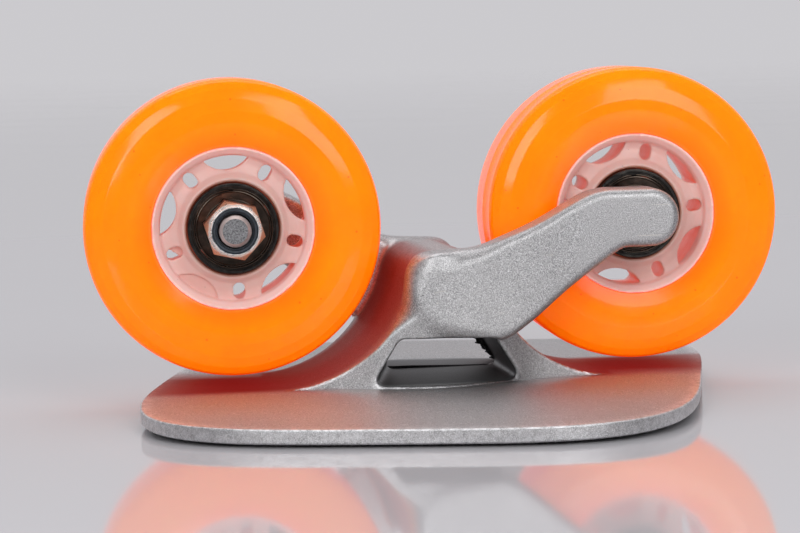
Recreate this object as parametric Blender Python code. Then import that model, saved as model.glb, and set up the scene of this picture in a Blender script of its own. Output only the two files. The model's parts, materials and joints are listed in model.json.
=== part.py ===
"""One drift skate (half of a pair), standing wheels-up on its foot plate.

Two polyurethane wheels roll side by side along X on studs that point along Y.
A single aluminium casting holds them: a foot plate, a waisted pedestal with a
window through it, and two arms, one in front of the right wheel and one behind
the left wheel.  Everything is the same after half a turn about the Z axis.
Units are metres.  The foot side rests on z = 0, and Z = 0 is under the centre.
"""

import math

import bmesh
import bpy
from mathutils import Matrix, Vector

# ---------------------------------------------------------------- driving sizes
WHEELBASE = 0.0990
WHEEL_RADIUS = 0.0360
WHEEL_TREAD_HALF = 0.0125
WHEEL_FACE_HALF = 0.0152
WHEEL_STAGGER = 0.0023
TOUCH_GAP = 0.0003

PLATE_WIDTH = 0.1330
PLATE_LENGTH = 0.1660
PLATE_THICKNESS = 0.0035
PLATE_CROWN = 0.0014
PLATE_TURN = math.radians(-12.9)
PLATE_CORNER_POWER = 3.9
PLATE_TO_AXLE = 0.0391
GRIP_THICKNESS = 0.0005
GRIP_INSET = 0.0025

BEARING_WIDTH = 0.0070
BEARING_RADIUS = 0.0110
BEARING_BORE = 0.0041
BEARING_FACE = 0.0148
BALL_RADIUS = 0.001985
BALL_PITCH_RADIUS = 0.0075
BALL_COUNT = 7
OUTER_RING_SHOULDER = 0.00935
OUTER_RING_GROOVE = 0.0098
INNER_RING_SHOULDER = 0.0059
INNER_RING_GROOVE = 0.0052

STUD_RADIUS = 0.0039
STUD_NUT_END = 0.0239
ARM_INNER = 0.0165
ARM_OUTER = 0.0300
STUD_DEPTH_IN_ARM = 0.0105
NUT_ACROSS_FLATS = 0.0130
NUT_HEX_HEIGHT = 0.0062
NUT_COLLAR_HEIGHT = 0.0017
NUT_COLLAR_RADIUS = 0.0059
NUT_TURN = -13

HUB_RADIUS = 0.0196
HUB_FACE = 0.0144
WEB_FACE = 0.0106
HUB_POCKET_RADIUS = 0.0113
HUB_WINDOW_COUNT = 5

SCOOP_RADIUS = 0.0336
SCOOP_SHIFT = 0.0092
SCOOP_SINK = 0.0002
TUNNEL_BOTTOM_HALF = 0.0166
TUNNEL_TOP_HALF = 0.0100
TUNNEL_CEILING = -0.0276
TUNNEL_FLOOR = -0.0388
TRUCK_TOP = -0.0065
BOSS_RADIUS = 0.0072

ROUND_SEGMENTS = 24
WHEEL_SEGMENTS = 40
PLATE_POINTS = 64
PLATE_STRIPS = 13

# --------------------------------------------------------------- worked-out sizes
GRIP_DROP = PLATE_CROWN * (1 - 2 * GRIP_INSET / PLATE_LENGTH) ** 2
PLATE_BOTTOM_Z = GRIP_DROP + GRIP_THICKNESS + TOUCH_GAP
PLATE_TOP_Z = PLATE_BOTTOM_Z + PLATE_THICKNESS
AXLE_Z = PLATE_TOP_Z + PLATE_TO_AXLE
AXLE_X = WHEELBASE / 2
BEARING_MID = BEARING_FACE - BEARING_WIDTH / 2

MATERIALS = {
    "cast_aluminium": ((0.42, 0.42, 0.43), 0.45, 0.9),
    "orange_polyurethane": ((1.0, 0.27, 0.01), 0.25, 0.0),
    "pink_nylon": ((0.80, 0.50, 0.45), 0.40, 0.0),
    "bearing_steel": ((0.10, 0.08, 0.07), 0.30, 1.0),
    "shield_steel": ((0.12, 0.07, 0.05), 0.35, 1.0),
    "ball_steel": ((0.60, 0.60, 0.60), 0.15, 1.0),
    "zinc_steel": ((0.62, 0.58, 0.55), 0.30, 1.0),
    "blue_nylon": ((0.12, 0.15, 0.20), 0.50, 0.0),
    "black_grip": ((0.03, 0.03, 0.03), 0.95, 0.0),
}


# ------------------------------------------------------------------------ helpers
def clear_scene():
    for thing in list(bpy.data.objects):
        bpy.data.objects.remove(thing, do_unlink=True)


def material(name):
    found = bpy.data.materials.get(name)
    if found:
        return found
    colour, roughness, metallic = MATERIALS[name]
    made = bpy.data.materials.new(name)
    made.use_nodes = True
    shader = made.node_tree.nodes["Principled BSDF"]
    shader.inputs["Base Color"].default_value = (*colour, 1.0)
    shader.inputs["Roughness"].default_value = roughness
    shader.inputs["Metallic"].default_value = metallic
    return made


def add_object(name, bm, material_name, place=(0.0, 0.0, 0.0), smooth=True):
    """Turn a bmesh into a named object with outward faces, at a place."""
    bmesh.ops.remove_doubles(bm, verts=bm.verts, dist=1e-7)
    bmesh.ops.recalc_face_normals(bm, faces=bm.faces)
    mesh = bpy.data.meshes.new(name)
    bm.to_mesh(mesh)
    bm.free()
    if smooth:
        mesh.shade_smooth()
        mesh.set_sharp_from_angle(angle=math.radians(35))
    mesh.materials.append(material(material_name))
    made = bpy.data.objects.new(name, mesh)
    made.location = place
    bpy.context.scene.collection.objects.link(made)
    return made


def guide(made):
    """Mark an object as a working shape that is not a piece of the skate."""
    made.hide_render = True
    made.display_type = "WIRE"
    return made


def combine(target, operand, operation):
    """Keep a live Boolean modifier on the target."""
    boolean = target.modifiers.new(operation.lower() + "_" + operand.name, "BOOLEAN")
    boolean.operation = operation
    boolean.solver = "EXACT"
    boolean.object = operand
    guide(operand)


def turned(profile, segments, ring):
    """Spin a list of (radius, y) about the Y axis.

    A ring has a closed profile.  Otherwise both ends are capped flat.
    """
    bm = bmesh.new()
    rows = []
    for radius, y in profile:
        row = []
        for step in range(segments):
            angle = 2 * math.pi * step / segments
            row.append(bm.verts.new((radius * math.cos(angle), y, radius * math.sin(angle))))
        rows.append(row)
    pairs = list(zip(rows, rows[1:]))
    if ring:
        pairs.append((rows[-1], rows[0]))
    for first, second in pairs:
        for step in range(segments):
            after = (step + 1) % segments
            bm.faces.new((first[step], first[after], second[after], second[step]))
    if not ring:
        bm.faces.new(rows[0])
        bm.faces.new(rows[-1])
    return bm


def prism(outline, low, high, axis="Z"):
    """Extrude a closed outline: (x, y) along Z, or (x, z) along Y."""
    bm = bmesh.new()
    if axis == "Z":
        corners = [bm.verts.new((a, b, low)) for a, b in outline]
        push = Vector((0.0, 0.0, high - low))
    else:
        corners = [bm.verts.new((a, low, b)) for a, b in outline]
        push = Vector((0.0, high - low, 0.0))
    base = bm.faces.new(corners)
    grown = bmesh.ops.extrude_face_region(bm, geom=[base], use_keep_orig=True)
    moved = [item for item in grown["geom"] if isinstance(item, bmesh.types.BMVert)]
    bmesh.ops.translate(bm, vec=push, verts=moved)
    bmesh.ops.recalc_face_normals(bm, faces=bm.faces)
    return bm


def round_rims(bm, axis_index, width, segments=2):
    """Bevel the two rims of a prism made along an axis."""
    caps = [face for face in bm.faces if abs(face.normal[axis_index]) > 0.99]
    rims = {edge for face in caps for edge in face.edges}
    bmesh.ops.bevel(
        bm, geom=list(rims), offset=width, segments=segments, profile=0.5,
        affect="EDGES", clamp_overlap=True,
    )
    return bm


def half_turned(points):
    """The same points after half a turn about Z."""
    return [(-x, -y) for x, y in points]


def arc(centre, radius, start, end, steps):
    """Points on an arc, angles in degrees."""
    points = []
    for step in range(steps + 1):
        angle = math.radians(start + (end - start) * step / steps)
        points.append((centre[0] + radius * math.cos(angle), centre[1] + radius * math.sin(angle)))
    return points


def curve_through(points, steps):
    """A smooth curve through a few points, ends included (Catmull-Rom)."""
    padded = [points[0]] + list(points) + [points[-1]]
    smooth = []
    for index in range(1, len(padded) - 2):
        before, start, end, after = (Vector(padded[index + k]) for k in (-1, 0, 1, 2))
        for step in range(steps):
            t = step / steps
            bend = (2 * before - 5 * start + 4 * end - after) * t * t
            twist = (3 * start - before - 3 * end + after) * t * t * t
            smooth.append(tuple((2 * start + (end - before) * t + bend + twist) / 2))
    smooth.append(tuple(points[-1]))
    return smooth


# ------------------------------------------------------------------- foot plate
def plate_outline(inset):
    """A rounded rectangle, turned a little against the rolling direction."""
    points = []
    power = 2 / PLATE_CORNER_POWER
    for step in range(PLATE_POINTS):
        angle = 2 * math.pi * (step + 0.5) / PLATE_POINTS
        across = math.copysign(abs(math.cos(angle)) ** power, math.cos(angle))
        along = math.copysign(abs(math.sin(angle)) ** power, math.sin(angle))
        spot = Vector(((PLATE_WIDTH / 2 - inset) * across, (PLATE_LENGTH / 2 - inset) * along))
        spot.rotate(Matrix.Rotation(PLATE_TURN, 2))
        points.append(tuple(spot))
    return points


def crowned_slab(name, middle_top, thickness):
    """A slab bent along the foot: its ends lie PLATE_CROWN lower than its middle."""
    reach = PLATE_LENGTH / 2 + 0.002
    line = []
    for step in range(PLATE_STRIPS + 1):
        along = reach * (2 * step / PLATE_STRIPS - 1)
        line.append((along, middle_top - PLATE_CROWN * (2 * along / PLATE_LENGTH) ** 2))
    outline = line + [(along, z - thickness) for along, z in reversed(line)]
    bm = prism(outline, -PLATE_WIDTH, PLATE_WIDTH, "Y")
    turn = Matrix.Rotation(PLATE_TURN + math.radians(90), 3, "Z")
    bmesh.ops.rotate(bm, cent=(0, 0, 0), matrix=turn, verts=bm.verts)
    return add_object(name, bm, "cast_aluminium")


def crowned_sheet(name, inset, middle_top, thickness, material_name):
    """The plate's outline cut from a crowned slab."""
    blank = prism(plate_outline(inset), middle_top - 0.02, middle_top + 0.01)
    sheet = add_object(name, blank, material_name)
    combine(sheet, crowned_slab(name + "_slab", middle_top, thickness), "INTERSECT")
    return sheet


def foot_plate():
    return crowned_sheet("truck_casting", 0.0, PLATE_TOP_Z, PLATE_THICKNESS, "cast_aluminium")


def grip_sheet():
    top = GRIP_DROP + GRIP_THICKNESS
    return crowned_sheet("grip_tape", GRIP_INSET, top, GRIP_THICKNESS, "black_grip")


# ---------------------------------------------------------------- cast truck body
def pedestal():
    """The waisted pillar on the plate, with its bowed front and back faces."""
    front = [
        (-0.0450, -0.0196), (-0.0250, -0.0213), (-0.0150, -0.0241), (-0.0040, -0.0262),
        (0.0060, -0.0248), (0.0150, -0.0208), (0.0250, -0.0170), (0.0450, -0.0143),
    ]
    bowed = curve_through(front, 2)
    outline = bowed + half_turned(bowed)
    low = PLATE_TOP_Z - PLATE_THICKNESS / 2
    high = AXLE_Z + TRUCK_TOP - TOUCH_GAP
    return guide(add_object("pedestal_shape", prism(outline, low, high), "cast_aluminium"))


def scoop(side):
    """The round clearance under and beside one wheel, tangent to the plate."""
    bm = bmesh.new()
    turn_to_y = Matrix.Rotation(math.radians(90), 4, "X")
    bmesh.ops.create_cone(
        bm, cap_ends=True, segments=72, radius1=SCOOP_RADIUS, radius2=SCOOP_RADIUS,
        depth=0.1, matrix=turn_to_y,
    )
    centre_x = side * (AXLE_X - SCOOP_SHIFT)
    centre_z = PLATE_TOP_Z - SCOOP_SINK + SCOOP_RADIUS
    name = "scoop_left" if side < 0 else "scoop_right"
    return guide(add_object(name, bm, "cast_aluminium", (centre_x, 0.0, centre_z)))


def scoop_block(side):
    """A block beyond the scoop, so that nothing is left outside it."""
    inner = side * (AXLE_X - SCOOP_SHIFT)
    outer = side * 0.09
    low = PLATE_TOP_Z - 2 * SCOOP_SINK
    high = AXLE_Z + 0.02
    outline = [(inner, low), (outer, low), (outer, high), (inner, high)]
    name = "beyond_left" if side < 0 else "beyond_right"
    return guide(add_object(name, prism(outline, -0.05, 0.05, "Y"), "cast_aluminium"))


def tunnel():
    """The window through the pedestal, narrower at its ceiling."""
    radius = 0.0022
    floor = AXLE_Z + TUNNEL_FLOOR
    ceiling = AXLE_Z + TUNNEL_CEILING
    right = arc((TUNNEL_BOTTOM_HALF - radius, floor + radius), radius, -90, 20, 3)
    right += arc((TUNNEL_TOP_HALF - radius, ceiling - radius), radius, 30, 90, 2)
    outline = right + [(-x, z) for x, z in reversed(right)]
    return guide(add_object("tunnel_shape", prism(outline, -0.04, 0.04, "Y"), "cast_aluminium"))


def arm_outline():
    """Side view of the front arm: its block on the left, its boss on the right."""
    top = curve_through([(-0.0150, TRUCK_TOP), (0.0060, TRUCK_TOP), (0.0145, -0.0056),
                         (0.0230, -0.0018), (0.0340, 0.0046), (0.0405, 0.0066)], 2)
    boss = arc((AXLE_X, 0.0), BOSS_RADIUS, 100, -92, 10)
    bottom = curve_through([(0.0440, -0.0070), (0.0400, -0.0076), (0.0294, -0.0170),
                            (0.0204, -0.0242), (0.0135, -0.0280), (0.0040, -0.0286),
                            (-0.0030, -0.0280), (-0.0150, -0.0250)], 2)
    return [(x, AXLE_Z + z) for x, z in top + boss + bottom]


def arm(side):
    """One arm with its bored boss; the back arm is the front one turned half round."""
    bm = round_rims(prism(arm_outline(), -ARM_OUTER, -ARM_INNER, "Y"), 1, 0.0018)
    if side < 0:
        bmesh.ops.rotate(bm, cent=(0, 0, 0), matrix=Matrix.Rotation(math.pi, 3, "Z"), verts=bm.verts)
    name = "front_arm_shape" if side > 0 else "back_arm_shape"
    return guide(add_object(name, bm, "cast_aluminium"))


def stud_bore(side):
    """The blind bore in a boss that holds the stud."""
    depth = STUD_DEPTH_IN_ARM + TOUCH_GAP
    profile = [(BEARING_BORE, -side * (ARM_INNER - 0.002)), (BEARING_BORE, -side * (ARM_INNER + depth))]
    name = "bore_right" if side > 0 else "bore_left"
    bm = turned(profile, ROUND_SEGMENTS, ring=False)
    return guide(add_object(name, bm, "cast_aluminium", (side * AXLE_X, 0.0, AXLE_Z)))


def truck_casting():
    """Plate, pedestal and both arms in one piece of cast aluminium."""
    casting = foot_plate()
    pillar = pedestal()
    scoops = {side: scoop(side) for side in (-1, 1)}
    blocks = {side: scoop_block(side) for side in (-1, 1)}
    for side in (-1, 1):
        combine(pillar, scoops[side], "DIFFERENCE")
        combine(pillar, blocks[side], "DIFFERENCE")
    combine(pillar, tunnel(), "DIFFERENCE")
    combine(casting, pillar, "UNION")
    for side in (-1, 1):
        limb = arm(side)
        combine(limb, scoops[-side], "DIFFERENCE")
        combine(casting, limb, "UNION")
        combine(casting, stud_bore(side), "DIFFERENCE")
    return casting


# ------------------------------------------------------------------------- wheels
def tyre(label, place):
    """A rounded polyurethane tyre with a flat tread, cast around the hub."""
    inner = HUB_RADIUS + TOUCH_GAP
    half = [
        (inner, 0.0146), (0.0228, 0.0148), (0.0248, WHEEL_FACE_HALF), (0.0320, 0.0149),
        (0.0352, 0.0137), (WHEEL_RADIUS, WHEEL_TREAD_HALF),
    ]
    profile = half + [(radius, -y) for radius, y in reversed(half)]
    bm = turned(profile, WHEEL_SEGMENTS, ring=True)
    return add_object(label + "_tyre", bm, "orange_polyurethane", place)


def hub_window():
    """One D-shaped window between two spokes, pointing along +X."""
    outer = arc((0.0, 0.0), 0.0174, -18, 18, 4)
    inner = arc((0.0214, 0.0), 0.0073, 134, 226, 4)
    return prism(outer + inner, -0.02, 0.02, "Y")


def hub_slot():
    """One oval hole through a spoke, pointing along +X."""
    outer = arc((0.0158, 0.0), 0.0016, -90, 90, 4)
    inner = arc((0.0147, 0.0), 0.0016, 90, 270, 4)
    return prism(outer + inner, -0.02, 0.02, "Y")


def hub(label, place, first_window):
    """The nylon core: a rim, a recessed web with holes, and a bearing seat at each end."""
    half = [
        (HUB_RADIUS, HUB_FACE), (0.0192, HUB_FACE), (0.0178, 0.0122), (0.0174, WEB_FACE),
        (0.0136, WEB_FACE), (0.0126, 0.0130), (HUB_POCKET_RADIUS, HUB_FACE - 0.0010),
        (HUB_POCKET_RADIUS, BEARING_FACE - BEARING_WIDTH - TOUCH_GAP),
        (0.0096, BEARING_FACE - BEARING_WIDTH - TOUCH_GAP),
    ]
    profile = half + [(radius, -y) for radius, y in reversed(half)]
    bm = turned(profile, WHEEL_SEGMENTS, ring=True)
    made = add_object(label + "_hub", bm, "pink_nylon", place)
    cutters = bmesh.new()
    spacing = 360 / HUB_WINDOW_COUNT
    for number in range(2 * HUB_WINDOW_COUNT):
        hole = hub_slot() if number % 2 else hub_window()
        angle = math.radians(first_window + number * spacing / 2)
        bmesh.ops.rotate(hole, cent=(0, 0, 0), matrix=Matrix.Rotation(-angle, 3, "Y"), verts=hole.verts)
        piece = bpy.data.meshes.new(label + "_hole")
        hole.to_mesh(piece)
        hole.free()
        cutters.from_mesh(piece)
    combine(made, add_object(label + "_holes", cutters, "pink_nylon", place), "DIFFERENCE")
    return made


def bearing(label, place, facing):
    """A shielded ball bearing; facing is -1 or +1, the way its open face looks."""
    half = BEARING_WIDTH / 2
    middle = (place[0], place[1] + facing * BEARING_MID, place[2])
    outer = [(BEARING_RADIUS, -half), (BEARING_RADIUS, half), (OUTER_RING_SHOULDER, half),
             (OUTER_RING_GROOVE, 0.0), (OUTER_RING_SHOULDER, -half)]
    inner = [(BEARING_BORE, -half), (BEARING_BORE, half), (INNER_RING_SHOULDER, half),
             (INNER_RING_GROOVE, 0.0), (INNER_RING_SHOULDER, -half)]
    rim, lip = OUTER_RING_SHOULDER - 0.0002, INNER_RING_SHOULDER + 0.0003
    shield = [(rim, 0.0029), (rim, 0.0033), (lip, 0.0033), (lip, 0.0029)]
    add_object(label + "_outer_ring", turned(outer, ROUND_SEGMENTS, True), "bearing_steel", middle)
    add_object(label + "_inner_ring", turned(inner, ROUND_SEGMENTS, True), "bearing_steel", middle)
    for word, way in (("open", facing), ("closed", -facing)):
        profile = [(radius, way * y) for radius, y in shield]
        bm = turned(profile, ROUND_SEGMENTS, True)
        add_object(label + "_" + word + "_side_shield", bm, "shield_steel", middle)
    add_object(label + "_ball_cage", ball_cage(), "ball_steel", middle)


def ball_cage():
    """Seven balls held in one ring, made as a single closed body."""
    cage = [(0.0071, -0.0007), (0.0071, 0.0007), (0.0079, 0.0007), (0.0079, -0.0007)]
    ring_mesh = bpy.data.meshes.new("cage_ring")
    turned(cage, 2 * BALL_COUNT, True).to_mesh(ring_mesh)
    ring = bpy.data.objects.new("cage_ring", ring_mesh)
    bpy.context.scene.collection.objects.link(ring)
    balls = bmesh.new()
    for number in range(BALL_COUNT):
        angle = 2 * math.pi * number / BALL_COUNT
        spot = Matrix.Translation((BALL_PITCH_RADIUS * math.cos(angle), 0.0, BALL_PITCH_RADIUS * math.sin(angle)))
        bmesh.ops.create_uvsphere(balls, u_segments=6, v_segments=5, radius=BALL_RADIUS, matrix=spot)
    ball_mesh = bpy.data.meshes.new("cage_balls")
    balls.to_mesh(ball_mesh)
    balls.free()
    group = bpy.data.objects.new("cage_balls", ball_mesh)
    bpy.context.scene.collection.objects.link(group)
    combine(ring, group, "UNION")
    bpy.context.view_layer.update()
    evaluated = ring.evaluated_get(bpy.context.evaluated_depsgraph_get())
    joined = bmesh.new()
    joined.from_mesh(evaluated.to_mesh())
    for spent in (ring, group):
        bpy.data.objects.remove(spent, do_unlink=True)
    return joined


# ---------------------------------------------------------------------- fasteners
def lock_nut(label, place, facing):
    """A hexagon lock nut with a round collar that holds a nylon insert."""
    start = facing * (BEARING_FACE + TOUCH_GAP)
    hex_end = start + facing * NUT_HEX_HEIGHT
    collar_end = hex_end + facing * NUT_COLLAR_HEIGHT
    corner = NUT_ACROSS_FLATS / math.sqrt(3)
    turns = [math.radians(60 * k + NUT_TURN) for k in range(6)]
    outline = [(corner * math.cos(turn), corner * math.sin(turn)) for turn in turns]
    low, high = sorted((start, hex_end))
    nut = add_object(label + "_lock_nut", prism(outline, low, high, "Y"), "zinc_steel", place)
    collar = turned([(NUT_COLLAR_RADIUS, hex_end - facing * 0.001), (NUT_COLLAR_RADIUS, collar_end)],
                    ROUND_SEGMENTS, False)
    combine(nut, add_object(label + "_collar_shape", collar, "zinc_steel", place), "UNION")
    bore = turned([(BEARING_BORE + 0.0001, start - facing * 0.001),
                   (BEARING_BORE + 0.0001, hex_end - facing * 0.0002),
                   (0.0053, hex_end - facing * 0.0002),
                   (0.0053, collar_end + facing * 0.001)], ROUND_SEGMENTS, False)
    combine(nut, add_object(label + "_bore_shape", bore, "zinc_steel", place), "DIFFERENCE")
    insert_start = hex_end + facing * 0.0001
    insert_end = collar_end - facing * 0.0001
    ring = [(0.0050, insert_start), (0.0050, insert_end),
            (BEARING_BORE + 0.0001, insert_end), (BEARING_BORE + 0.0001, insert_start)]
    add_object(label + "_nut_insert", turned(ring, ROUND_SEGMENTS, True), "blue_nylon", place)


def stud(label, place, facing):
    """The threaded stud: through both bearings and into the arm."""
    nut_end = facing * STUD_NUT_END
    chamfer = 0.0007
    arm_end = -facing * (ARM_INNER + WHEEL_STAGGER + STUD_DEPTH_IN_ARM)
    profile = [(STUD_RADIUS - chamfer, nut_end), (STUD_RADIUS, nut_end - facing * chamfer),
               (STUD_RADIUS, arm_end + facing * chamfer), (STUD_RADIUS - chamfer, arm_end)]
    add_object(label + "_axle_stud", turned(profile, ROUND_SEGMENTS, False), "zinc_steel", place)


def plain_ring(name, place, outer, start, end):
    """A plain sleeve or washer on the stud."""
    profile = [(outer, start), (outer, end), (BEARING_BORE, end), (BEARING_BORE, start)]
    add_object(name, turned(profile, ROUND_SEGMENTS, True), "zinc_steel", place)


def wheel_set(label, side, first_window):
    """One wheel with its bearings, stud, nut and spacers."""
    facing = side
    place = (side * AXLE_X, side * WHEEL_STAGGER, AXLE_Z)
    tyre(label, place)
    hub(label, place, first_window)
    bearing(label + "_nut_bearing", place, facing)
    bearing(label + "_arm_bearing", place, -facing)
    sleeve_half = BEARING_FACE - BEARING_WIDTH - TOUCH_GAP
    plain_ring(label + "_bearing_sleeve", place, 0.0055, -sleeve_half, sleeve_half)
    spacer_start = -facing * (BEARING_FACE + TOUCH_GAP)
    spacer_end = -facing * (ARM_INNER + WHEEL_STAGGER - TOUCH_GAP)
    plain_ring(label + "_arm_spacer", place, 0.0060, spacer_start, spacer_end)
    stud(label, place, facing)
    lock_nut(label, place, facing)


def main():
    clear_scene()
    truck_casting()
    grip_sheet()
    wheel_set("left", -1, 22)
    wheel_set("right", 1, 41)


main()
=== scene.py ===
"""Looks for one drift skate: a cast truck on a foot plate and two orange wheels.

Lengths in this script are millimetres unless a name ends in _M, and every mesh is made in the
row frame, so its object stays at the origin.  Heights in the truck section are above the axles.
"""
import json
import math
from itertools import product

import bmesh
import bpy
import numpy as np
from mathutils import Matrix, Vector, noise


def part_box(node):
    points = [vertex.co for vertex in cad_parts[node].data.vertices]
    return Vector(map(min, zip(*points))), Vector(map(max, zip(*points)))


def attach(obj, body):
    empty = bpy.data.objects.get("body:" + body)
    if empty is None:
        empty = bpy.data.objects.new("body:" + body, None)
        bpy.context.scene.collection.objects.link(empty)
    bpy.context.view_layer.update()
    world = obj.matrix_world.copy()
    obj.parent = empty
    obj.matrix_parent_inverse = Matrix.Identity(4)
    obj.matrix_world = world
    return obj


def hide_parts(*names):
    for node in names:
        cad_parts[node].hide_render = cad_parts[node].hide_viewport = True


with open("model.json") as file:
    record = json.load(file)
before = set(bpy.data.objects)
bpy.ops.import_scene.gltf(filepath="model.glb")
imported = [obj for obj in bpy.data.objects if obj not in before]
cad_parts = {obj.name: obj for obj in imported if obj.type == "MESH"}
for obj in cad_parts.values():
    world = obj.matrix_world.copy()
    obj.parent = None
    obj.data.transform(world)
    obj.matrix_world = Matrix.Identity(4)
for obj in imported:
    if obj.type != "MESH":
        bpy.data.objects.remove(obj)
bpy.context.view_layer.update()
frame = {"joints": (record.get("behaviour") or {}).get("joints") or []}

MM = 0.001
SIDES = {"left": -1, "right": 1}

# ------------------------------------------------------------------ sizes from the frame
JOINTS = {joint["name"]: joint for joint in frame["joints"]}


def wheel_centre(label):
    return np.array(JOINTS[label + "_wheel_spin"]["pos_m"]) / MM


def span(node, axis):
    """A node's lowest and highest place along an axis, in millimetres."""
    low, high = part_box(node)
    return low[axis] / MM, high[axis] / MM


AXLE_Z = wheel_centre("right")[2]
AXLE_X = wheel_centre("right")[0]
STAGGER = wheel_centre("right")[1]

# ------------------------------------------------------------------------ wheel sizes
TREAD_RADIUS = 35.93
HUB_RADIUS = 19.6
HUB_FACE = 14.4
POCKET_RADIUS = 11.25
WINDOW_COUNT = 5
WINDOW_PITCH = 360 / WINDOW_COUNT
FIRST_WINDOW = {"left": 22.0, "right": 41.0}
MOULDED_SHUT = {"left": (238.0, 202.0), "right": ()}
BEARING_HALF = 3.5
BALL_COUNT, BALL_RADIUS, BALL_PITCH_RADIUS = 7, 1.975, 7.5
BEARING_MID = 11.3
BORE = 4.1
STUD_RADIUS = 3.9
STUD_NUT_END = 23.9
STUD_DEPTH_IN_ARM = 10.5
THREAD_PITCH = 1.25
NUT_START = 15.1
NUT_HEX_HEIGHT = 6.2
NUT_COLLAR_HEIGHT = 1.7
NUT_ACROSS_FLATS = 13.0
NUT_TURN = -13.0
SLOT_REACH, SLOT_HALF_LENGTH, SLOT_RADIUS = 15.3, 0.6, 1.40

# ------------------------------------------------------------------------ truck sizes
ARM_INNER, ARM_OUTER = 16.5, 30.0
BOSS_RADIUS = 7.2
TRUCK_TOP = -6.5
PLATE_TO_AXLE = 39.1
PLATE_THICKNESS = 3.5
PLATE_WIDTH, PLATE_LENGTH = 133.0, 166.0
PLATE_CROWN = 1.4
PLATE_TURN = math.radians(-12.9)
PLATE_POWER = 3.9
PLATE_TOP_INSET, PLATE_UNDER_INSET = 0.8, 2.5
GRIP_INSET = 2.5
GRIP_THICKNESS = 0.5
SCOOP_RADIUS = 33.8
SCOOP_INBOARD, SCOOP_FLARE = 9.3, 2.2
SCOOP_SINK = 0.04
TUNNEL_TOP, TUNNEL_SILL = -27.4, -38.75
TUNNEL_STEP_AT = 10.0
ROUGHNESS_SEED = 7


# ---------------------------------------------------------------------- node helpers
class Look:
    """A procedural material, built node by node around one Principled shader."""

    def __init__(self, name, **values):
        self.material = bpy.data.materials.new(name)
        self.material.use_nodes = True
        self.tree = self.material.node_tree
        self.shader = self.tree.nodes["Principled BSDF"]
        for socket, value in values.items():
            self.shader.inputs[socket.replace("_", " ")].default_value = value
        self.place = self.node("ShaderNodeTexCoord").outputs["Object"]

    def node(self, kind, links=None, **settings):
        made = self.tree.nodes.new(kind)
        for key, value in settings.items():
            setattr(made, key, value)
        for socket, source in (links or {}).items():
            if isinstance(source, bpy.types.NodeSocket):
                self.tree.links.new(source, made.inputs[socket])
            else:
                made.inputs[socket].default_value = source
        return made

    def noise(self, scale, detail=2.0, roughness=0.5, place=None):
        links = {"Vector": place or self.place, "Scale": scale, "Detail": detail, "Roughness": roughness}
        return self.node("ShaderNodeTexNoise", links).outputs["Fac"]

    def cells(self, scale):
        links = {"Vector": self.place, "Scale": scale}
        return self.node("ShaderNodeTexVoronoi", links).outputs["Distance"]

    def stretched(self, factors, turn):
        links = {"Vector": self.place, "Scale": factors, "Rotation": turn}
        return self.node("ShaderNodeMapping", links).outputs["Vector"]

    def ramp(self, fac, stops, smooth=False):
        """Colours or grey levels along a factor: stops are (place, colour)."""
        made = self.node("ShaderNodeValToRGB", {"Fac": fac})
        made.color_ramp.interpolation = "EASE" if smooth else "LINEAR"
        while len(made.color_ramp.elements) < len(stops):
            made.color_ramp.elements.new(0.5)
        for element, (spot, colour) in zip(made.color_ramp.elements, stops):
            element.position = spot
            grey = isinstance(colour, (int, float))
            element.color = (colour, colour, colour, 1.0) if grey else (*colour, 1.0)
        return made.outputs["Color"]

    def level(self, fac, from_low, from_high, to_low, to_high):
        links = {"Value": fac, "From Min": from_low, "From Max": from_high,
                 "To Min": to_low, "To Max": to_high}
        return self.node("ShaderNodeMapRange", links).outputs["Result"]

    def uneven(self, scale, detail, low, high):
        """A value that wanders between low and high."""
        return self.level(self.noise(scale, detail), 0.3, 0.7, low, high)

    def specks(self, tone, scale, size, strength, colour):
        """A tone with scattered small specks; size is where a speck ends and where it fades out."""
        dots = self.ramp(self.cells(scale), [(size[0], 1.0), (size[1], 0.0)])
        return self.mix(self.math("MULTIPLY", dots, strength), tone, colour)

    def mix(self, fac, first, second):
        made = self.node("ShaderNodeMix", data_type="RGBA")
        for index, source in ((0, fac), (6, first), (7, second)):
            if isinstance(source, bpy.types.NodeSocket):
                self.tree.links.new(source, made.inputs[index])
            elif index == 0:
                made.inputs[0].default_value = source
            else:
                made.inputs[index].default_value = (*source, 1.0)
        return made.outputs[2]

    def math(self, operation, first, second=0.0):
        return self.node("ShaderNodeMath", {0: first, 1: second}, operation=operation).outputs[0]

    def attribute(self, name):
        return self.node("ShaderNodeAttribute", attribute_name=name).outputs["Fac"]

    def bump(self, height, strength, distance_m, under=None):
        links = {"Height": height, "Strength": strength, "Distance": distance_m}
        if under is not None:
            links["Normal"] = under
        return self.node("ShaderNodeBump", links).outputs["Normal"]

    def around(self, centre):
        """Distance from a wheel's axle, and distance from its middle plane, in millimetres."""
        shifted = self.node("ShaderNodeVectorMath", {0: self.place, 1: Vector(centre) * MM},
                            operation="SUBTRACT").outputs[0]
        grown = self.node("ShaderNodeVectorMath", {0: shifted, "Scale": 1 / MM},
                          operation="SCALE").outputs[0]
        flat = self.node("ShaderNodeVectorMath", {0: grown, 1: (1.0, 0.0, 1.0)},
                         operation="MULTIPLY").outputs[0]
        radius = self.node("ShaderNodeVectorMath", {0: flat}, operation="LENGTH").outputs["Value"]
        depth = self.node("ShaderNodeSeparateXYZ", {0: grown}).outputs["Y"]
        return radius, self.math("ABSOLUTE", depth)

    def use(self, **sources):
        for socket, source in sources.items():
            self.tree.links.new(source, self.shader.inputs[socket.replace("_", " ")])
        return self.material


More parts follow.
